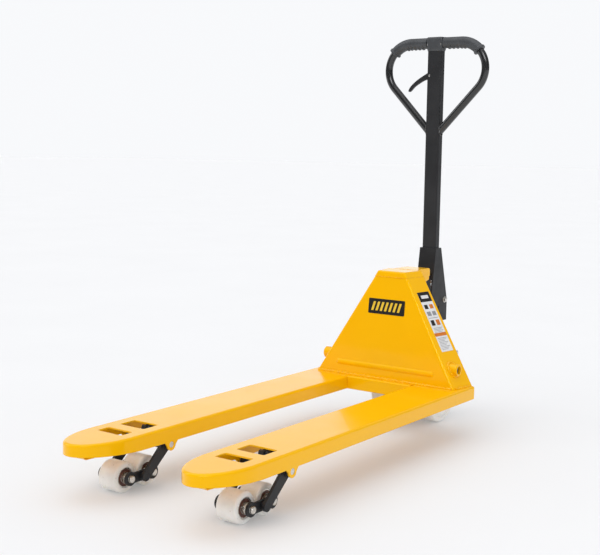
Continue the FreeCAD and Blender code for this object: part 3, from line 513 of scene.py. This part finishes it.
def grip_pieces():
    """Each moulded grip half: a sleeve round the loop's corner, finger ribs beneath, a collar at each end."""
    for side, way in (("left", -1), ("right", 1)):
        node = "grip_" + side
        path = [Vector((way * x / 1000, post_y, loop_z + loop_reach)) for x in range(29, 93, 4)]
        for k in range(1, 33):
            angle = math.radians(90 - (90 - 41) * k / 32)
            path.append(Vector((way * (loop_half + loop_reach * math.cos(angle)), post_y,
                                loop_z + loop_reach * math.sin(angle))))
        spacing = 0.00125
        path = resampled(path, spacing)
        last = len(path) - 1
        length = spacing * last

        def radius_at(i, angle):
            along = length * i / last
            radius = grip_radius - 0.0008
            collar = 0.0007 if along < 0.004 else 0.0
            if along > length - 0.008:
                collar = 0.0026 * min(1.0, (along - length + 0.008) / 0.0012)
            under = max(0.0, math.cos(angle)) ** 1.3
            if rib_from < along < rib_to:
                rib = 0.5 - 0.5 * math.cos(2 * math.pi * (along - rib_from) / rib_pitch)
                radius += under * (0.0042 * rib ** 0.8 - 0.0006)
            end = min(along, length - along)
            easing = min(1.0, 0.86 + end / 0.009)
            return (radius + collar) * easing

        def inward(point):
            if abs(point.x) <= loop_half:
                return Vector((0, 0, -1))
            return Vector((way * loop_half, post_y, loop_z)) - point

        cover = new_piece("grip_sleeve_" + side, *sweep(path, radius_at, inward, 48), plastic,
                          "grip_plastic", body_of(node), 50.0)
        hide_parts(node)


def grip_block_piece():
    """The block between the grip halves: a crowned body with a pressed panel and two screws."""
    low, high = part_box("grip_block")
    half, depth = half_of("grip_block").x, half_of("grip_block").y
    rows = [(low.z, 0.90, 0.82), (low.z + 0.006, 0.95, 0.90), (low.z + 0.018, 1.0, 1.0),
            (high.z - 0.008, 1.0, 1.0), (high.z - 0.002, 0.97, 0.93), (high.z, 0.93, 0.84)]
    vertices, faces = [], []
    for z, wide, deep in rows:
        outline = rounded([(-half * wide, -depth * deep, 0.006), (half * wide, -depth * deep, 0.006),
                           (half * wide, depth * deep, 0.006), (-half * wide, depth * deep, 0.006)])
        vertices += [(x, post_y + y, z) for x, y in outline]
    count = len(outline)
    for j in range(len(rows) - 1):
        faces += [(j * count + i, j * count + (i + 1) % count, (j + 1) * count + (i + 1) % count,
                   (j + 1) * count + i) for i in range(count)]
    faces += [tuple(range(count)), tuple(range(len(rows) * count - 1, (len(rows) - 1) * count - 1, -1))]
    block = new_piece("grip_centre", vertices, faces, plastic, "grip_plastic", "handle", 30.0)
    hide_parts("grip_block")
    middle = (low.z + high.z) / 2 - 0.002
    panels, screws = [], []
    for way in (-1, 1):
        y = post_y + way * (depth - 0.0004)
        outline = rounded([(-0.019, middle - 0.011, 0.003), (0.019, middle - 0.011, 0.003),
                           (0.019, middle + 0.011, 0.003), (-0.019, middle + 0.011, 0.003)])
        panels.append(prism(outline, y - way * 0.002, y + way * 0.0003, "y"))
        for x in (-0.0235, 0.0235):
            profile = rounded([(0, 0, 0), (way * 0.0004, 0.0026, 0.0003), (way * -0.003, 0.0026, 0)], False)
            screws.append(lathe(profile, (x, y, middle), "y", 24, False))
    new_piece("grip_centre_panels", *merged(panels), plastic, "grip_plastic", "handle")
    new_piece("grip_centre_screws", *merged(screws), zinc, "bright_steel", "handle")


def handle_fittings():
    """The cam roller's bolt and nut, the lever's pin, and their washers."""
    cam = centre_of("cam_roller")
    face = 0.0304                        # the bracket's outer face
    shank_end = 0.031
    lever_x, lever_z = -0.017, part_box("handle_bolts")[1].z - 0.0035
    parts = [hex_head((face + 0.0012, cam.y, cam.z), (1, 0, 0), 0.0088, 0.0052),
             hex_head((-face - 0.0012, cam.y, cam.z), (-1, 0, 0), 0.0088, 0.0052)]
    for way in (-1, 1):
        outside = way * (face + 0.0013)
        washer = rounded([(way * face, 0.005, 0), (way * face, 0.0108, 0), (outside, 0.0108, 0.0003),
                          (outside, 0.005, 0)], steps=2)
        parts.append(lathe(washer, (0, cam.y, cam.z), around=40))
    shank = rounded([(-face - 0.0065, 0, 0), (-face - 0.0065, 0.0052, 0.001), (shank_end, 0.0059, 0),
                     (shank_end, 0, 0)], False)
    parts.append(lathe(shank, (0, cam.y, cam.z), around=32, closed=False))
    reach = (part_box("handle_post")[1].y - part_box("handle_post")[0].y) / 2 + 0.0008
    pin = rounded([(-reach, 0, 0), (-reach, 0.0034, 0.0008), (reach, 0.0034, 0.0008), (reach, 0, 0)], False)
    parts.append(lathe(pin, (lever_x, post_y, lever_z), "y", 24, False))
    bolts = new_piece("handle_hardware", *merged(parts), zinc, "bright_steel", "handle", 30.0)
    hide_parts("handle_bolts")


def spring_piece():
    """The plunger's return spring, with a closed turn at each end."""
    low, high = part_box("return_spring")
    wire, coil = 0.002, half_of("return_spring").x - 0.002
    turns, per_turn = 10, 36
    middle = centre_of("return_spring")
    rise = high.z - low.z - 2 * wire
    closed = 2 * wire / rise
    path = []
    for i in range(turns * per_turn + 1):
        turn = i / per_turn
        if turn < 1:
            share = closed * turn
        elif turn > turns - 1:
            share = 1 - closed * (turns - turn)
        else:
            share = closed + (1 - 2 * closed) * (turn - 1) / (turns - 2)
        angle = 2 * math.pi * turn
        path.append(Vector((middle.x + coil * math.cos(angle), middle.y + coil * math.sin(angle),
                            low.z + wire + rise * share)))
    wound = sweep(path, lambda i, angle: wire * 0.98, (0, 0, 1), 12)
    spring = new_piece("plunger_spring", *wound, spring_steel, "bright_steel", body_of("return_spring"), 60.0)
    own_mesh(spring)
    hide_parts("return_spring")


# ---------------------------------------------------------------- welds
slope_x = 201.0 / 339.0                  # how far a side leans in as it rises
slope_y = 35.0 / 339.0                   # how far the front leans back as it rises
foot_half = 0.251                        # half the front plate's width at its foot
flare = 0.16                             # how far a side opens out towards the back
foot_depth = 0.095                       # the side plate's depth at its foot
top_depth = 0.084                        # and at the cap
boss_weld_r = 0.0200
tower_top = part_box("tower_cap")[0].z


def side_plate_x(y, z):
    """How far out the tower's side plate is at a point."""
    rise = z - fork_top
    return foot_half - rise * slope_x + (y - foot_y - rise * slope_y) * flare


def patch_piece(name, outlines, place, low, high, material, slot_name):
    """Flat printed shapes, laid on a surface by place(across, up, lift)."""
    parts = []
    for outline in outlines:
        count = len(outline)
        vertices = [place(a, b, lift) for lift in (low, high) for a, b in outline]
        faces = [tuple(range(count)), tuple(range(2 * count - 1, count - 1, -1))]
        faces += [(i, (i + 1) % count, count + (i + 1) % count, count + i) for i in range(count)]
        parts.append((vertices, faces))
    return new_piece(name, *merged(parts), material, slot_name, "frame")


def on_capacity_plate(across, up, lift):
    """A point over the capacity plate, in metres from its middle."""
    tilt = math.atan(slope_y)
    centre = centre_of("capacity_plate")
    y = foot_y + (centre.z - fork_top) * slope_y
    return Vector((centre.x + across, y + up * math.sin(tilt) - lift * math.cos(tilt),
                   centre.z + up * math.cos(tilt) + lift * math.sin(tilt)))


def capacity_stripes():
    """Slanting bars across the black plate."""
    bars, pitch, width, lean, height = 7, 0.0158, 0.0082, 0.008, 0.0145
    outlines = []
    for k in range(bars):
        x = (k - (bars - 1) / 2) * pitch
        outlines.append([(x - width / 2 - lean / 2, -height), (x + width / 2 - lean / 2, -height),
                         (x + width / 2 + lean / 2, height), (x - width / 2 + lean / 2, height)])
    patch_piece("capacity_stripes", outlines, on_capacity_plate, 0.0008, 0.00125, sign_yellow, "yellow_paint")


def on_side_label(across, down, lift):
    """A point on the side label: across runs from -1 to 1, down from 0 at its top to 1."""
    low, high = 0.264, 0.438
    z = high - down * (high - low)
    rise = z - fork_top
    depth = foot_depth + (top_depth - foot_depth) * rise / (tower_top - fork_top)
    back = depth * 0.55 + across * 0.028
    outward = Vector((1, -flare, slope_x - slope_y * flare)).normalized()
    x = foot_half - rise * slope_x + back * flare
    return Vector((x, foot_y + rise * slope_y + back, z)) + outward * lift


def block(left, right, top, bottom):
    """A rectangle on the side label."""
    return [(left, top), (right, top), (right, bottom), (left, bottom)]


def text_lines(count, top, pitch, shorter, cycle):
    """Thin lines of uneven length that stand in for small print."""
    edge, thick = 0.78, 0.007
    return [block(-edge, edge - shorter * (k % cycle), top + pitch * k, top + pitch * k + thick)
            for k in range(count)]


def label_print():
    """Plain bars, squares and lines, with no words or signs."""
    left, right = (-0.75, -0.15), (0.15, 0.75)
    upper, lower = (0.215, 0.285), (0.475, 0.565)
    dark = [block(-1, 1, 0.0, 0.165), block(*left, *upper), block(*left, *lower)]
    light = [block(-0.62, 0.62, 0.055, 0.11)]
    grey = [block(-0.8, 0.8, 0.435, 0.443), block(-0.75, -0.1, 0.33, 0.40), block(*right, 0.33, 0.40)]
    grey += text_lines(4, 0.605, 0.022, 0.2, 2) + text_lines(9, 0.775, 0.023, 0.25, 3)
    orange = [block(-1, 1, 0.69, 0.745), block(*right, *upper), block(*right, *lower)]
    for name, outlines, material in (("dark", dark, print_dark), ("grey", grey, print_grey),
                                     ("orange", orange, print_orange)):
        patch_piece("label_" + name, outlines, on_side_label, 0.0004, 0.0008, material, "sticker_white")
    patch_piece("label_bar", light, on_side_label, 0.0007, 0.00095, sticker, "sticker_white")


def frame_welds():
    """The beads round the tower's foot, its cap, the rocker bosses and the ram lug."""
    z = fork_top + 0.0008
    foot = [[(-foot_half + 0.006, foot_y - 0.0012, z), (foot_half - 0.006, foot_y - 0.0012, z)]]
    weld("weld_front_plate", foot, 0.0060, "frame", seed=3)
    sides = [[(way * (foot_half + 0.001), foot_y + 0.012, z),
              (way * (foot_half + 0.001 + 0.08 * flare), foot_y + 0.092, z)] for way in (-1, 1)]
    weld("weld_side_plates", sides, 0.0042, "frame", seed=5)
    rise = tower_top - fork_top
    front = foot_y + rise * slope_y
    half = foot_half - rise * slope_x
    back = top_depth * 0.9
    right = [(half - 0.009, front - 0.0004, tower_top), (half - 0.001, front + 0.008, tower_top),
             (half + back * flare, front + back, tower_top)]
    seam = [[(-x, y, height) for x, y, height in reversed(right)] + right]
    weld("weld_cap_seam", seam, 0.0013, "frame", seed=7)
    shaft = centre_of("rocker_shaft")
    rings = []
    for way in (-1, 1):
        ring = []
        for k in range(60):
            angle = 2 * math.pi * k / 60
            y = shaft.y + boss_weld_r * math.cos(angle)
            level = shaft.z + boss_weld_r * math.sin(angle)
            ring.append((way * side_plate_x(y, level), y, level))
        rings.append(ring)
    weld("weld_bosses", rings, 0.0046, "frame", side=(1, 0, 0), loop=True, seed=9)
    lug_half = half_of("ram_head_bracket").x
    cap_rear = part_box("tower_cap")[1].y
    cap_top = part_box("tower_cap")[1].z
    step = [[(-lug_half, cap_rear, cap_top - 0.0015), (lug_half, cap_rear, cap_top - 0.0015)]]
    weld("weld_ram_lug", step, 0.0022, "frame", seed=11)


def linkage_welds():
    """A bead round the pivot tube at both faces of each roller arm plate."""
    tube = 0.0155
    pivot = centre_of("roller_arm_pins")
    turns = [2 * math.pi * k / 40 for k in range(40)]
    for side, way in (("left", -1), ("right", 1)):
        rings = [[(way * fork_x + offset, pivot.y + tube * math.cos(a), pivot.z + tube * math.sin(a))
                  for a in turns] for offset in (0.0655, -0.0655, 0.0562, -0.0562)]
        weld("weld_roller_arm_" + side, rings, 0.0018, body_of("roller_arm_" + side), (1, 0, 0), powder,
             "black_paint", True, 20)


def loop_welds():
    """The bead round each leg of the loop where it meets the post."""
    lean = math.radians(43.6)
    tube, post_half = 0.0125, half_of("handle_post").x
    bend_end = Vector((loop_half + loop_reach * math.cos(-lean), loop_z + loop_reach * math.sin(-lean)))
    foot_z = bend_end.y - (bend_end.x - post_half) / math.tan(lean)
    turns = [2 * math.pi * k / 48 for k in range(48)]
    rings = [[(way * post_half, post_y + tube * math.cos(a), foot_z + tube * math.sin(a) / math.sin(lean))
              for a in turns] for way in (-1, 1)]
    weld("weld_loop", rings, 0.0026, "handle", (1, 0, 0), weld_black, "black_paint", True, 31)


def build():
    roller_pieces()
    axle_pieces()
    steering_pieces()
    grip_pieces()
    grip_block_piece()
    handle_fittings()
    spring_piece()
    frame_welds()
    linkage_welds()
    loop_welds()
    capacity_stripes()
    label_print()


build()


# ---------------------------------------------------------------- camera, light and floor
def add_camera():
    """A camera from its heading (anticlockwise from +Y), tilt, roll and place."""
    heading, tilt, roll = math.radians(35.45), math.radians(-6.65), math.radians(0.9)
    ahead = Vector((-math.sin(heading) * math.cos(tilt), math.cos(heading) * math.cos(tilt), math.sin(tilt)))
    right = Vector((math.cos(heading), math.sin(heading), 0))
    up = right.cross(ahead)
    turned_right = right * math.cos(roll) + up * math.sin(roll)
    turned_up = up * math.cos(roll) - right * math.sin(roll)
    place = Vector((1.785, -2.574, 0.882))
    lens = bpy.data.cameras.new("camera")
    lens.sensor_width = 36.0
    lens.lens = 66.4
    lens.clip_end = 500.0
    camera = bpy.data.objects.new("camera", lens)
    scene.collection.objects.link(camera)
    turn = Matrix((turned_right, turned_up, -ahead)).transposed().to_4x4()
    camera.matrix_world = Matrix.Translation(place) @ turn
    scene.camera = camera


def studio_world():
    """An even white studio whose mirror image is darker: a bright sweep low at the back and a lamp above."""
    world = bpy.data.worlds.new("studio")
    world.use_nodes = True
    tree = world.node_tree
    background = tree.nodes["Background"]
    background.inputs["Color"].default_value = (0.97, 0.98, 1.0, 1.0)
    way = tree.nodes.new("ShaderNodeTexCoord").outputs["Generated"]
    split = tree.nodes.new("ShaderNodeSeparateXYZ")
    tree.links.new(way, split.inputs["Vector"])
    height = split.outputs["Z"]

    def ramp(value, start, end, result):
        return ranged(tree, value, start, end, 0.0, result, "SMOOTHSTEP")

    def toward(direction):
        node = tree.nodes.new("ShaderNodeVectorMath")
        node.operation = "DOT_PRODUCT"
        node.inputs[1].default_value = Vector(direction).normalized()
        tree.links.new(way, node.inputs[0])
        return node.outputs["Value"]

    def both(operation, first, second):
        return combined(tree, operation, first, second)

    low_only, high_only = ramp(height, 0.55, 0.12, 1.0), ramp(height, 0.34, 0.43, 1.0)
    sweep_low = both("MULTIPLY", ramp(toward((-0.574, 0.819, 0.0)), 0.55, 0.95, 1.1), low_only)
    lamp_above = both("ADD", ramp(height, 0.78, 0.9, 0.8), ramp(height, 0.25, 0.7, 0.22))
    front_box = both("MULTIPLY", ramp(toward((0.61, -0.66, 0.43)), 0.93, 0.975, 5.0), high_only)
    softboxes = both("ADD", front_box, ramp(toward((-0.8, -0.3, 0.5)), 0.94, 0.98, 2.0))
    mirrored = both("ADD", both("ADD", sweep_low, lamp_above), both("ADD", softboxes, 0.12))
    light_path = tree.nodes.new("ShaderNodeLightPath")
    level = tree.nodes.new("ShaderNodeMix")
    level.inputs["A"].default_value = 0.97
    tree.links.new(light_path.outputs["Is Glossy Ray"], level.inputs["Factor"])
    tree.links.new(mirrored, level.inputs["B"])
    tree.links.new(level.outputs["Result"], background.inputs["Strength"])
    world.cycles.sampling_method = "NONE"
    return world


def add_stage():
    """A plain pale floor, the studio's world and one soft light from above."""
    mesh = bpy.data.meshes.new("floor")
    reach = 60.0
    corners = [(-reach, -reach, 0), (reach, -reach, 0), (reach, reach, 0), (-reach, reach, 0)]
    mesh.from_pydata(corners, [], [(0, 1, 2, 3)])
    floor = bpy.data.objects.new("floor", mesh)
    scene.collection.objects.link(floor)
    ground = finish("studio_floor", (0.715, 0.715, 0.72), (0.705, 0.705, 0.71), patch=1.5,
                    rough=(0.75, 0.85), grain=60.0, depth=0.00002, specular=0.1)
    surface = ground.node_tree.nodes["Principled BSDF"]
    surface.inputs["Emission Color"].default_value = (1.0, 1.0, 1.0, 1.0)
    surface.inputs["Emission Strength"].default_value = 0.14
    floor.data.materials.append(ground)
    scene.world = studio_world()
    sun = bpy.data.lights.new("overhead", "SUN")
    sun.energy = 0.68
    sun.angle = math.radians(70)
    lamp = bpy.data.objects.new("overhead", sun)
    lamp.rotation_euler = (math.radians(20), math.radians(-14), 0)
    scene.collection.objects.link(lamp)
    scene.view_settings.view_transform = "Standard"


add_camera()
add_stage()
